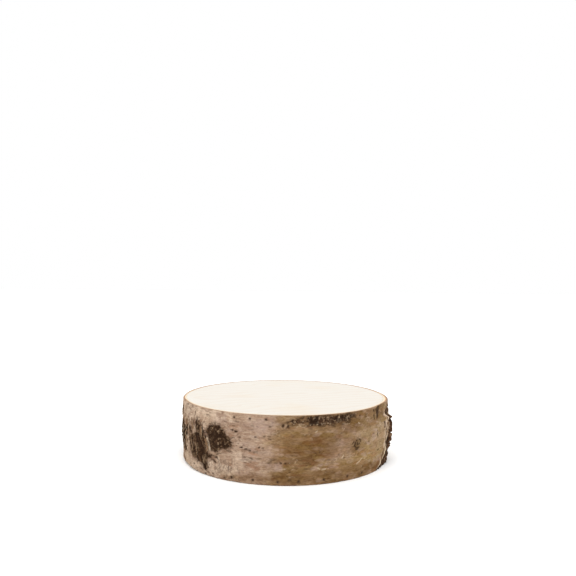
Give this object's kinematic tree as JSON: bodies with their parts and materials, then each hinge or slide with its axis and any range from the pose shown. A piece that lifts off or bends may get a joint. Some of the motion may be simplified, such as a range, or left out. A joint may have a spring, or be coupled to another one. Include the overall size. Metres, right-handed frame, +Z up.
{
  "type": "wood slice",
  "caption": "Flat round slice of pale birch wood with rough bark round its side, sawn flat on both faces.",
  "frame": {"origin": "centre of the underside of the wood, where the slice stands", "axes": "+Z up through the slice's thickness, out of its upper face; -Y towards the side with the branch scar and the knot; +X towards the thick bark plates"},
  "size_m": [0.208, 0.2077, 0.06],
  "materials": {
    "birch_wood": "pale sanded birch, satin, with faint long grain",
    "birch_bark": "rough matt birch bark, tan and grey with dark fissures and a red-brown cut edge"
  },
  "bodies": {
    "root": {"wood": "birch_wood", "bark": "birch_bark"}
  },
  "joints": []
}
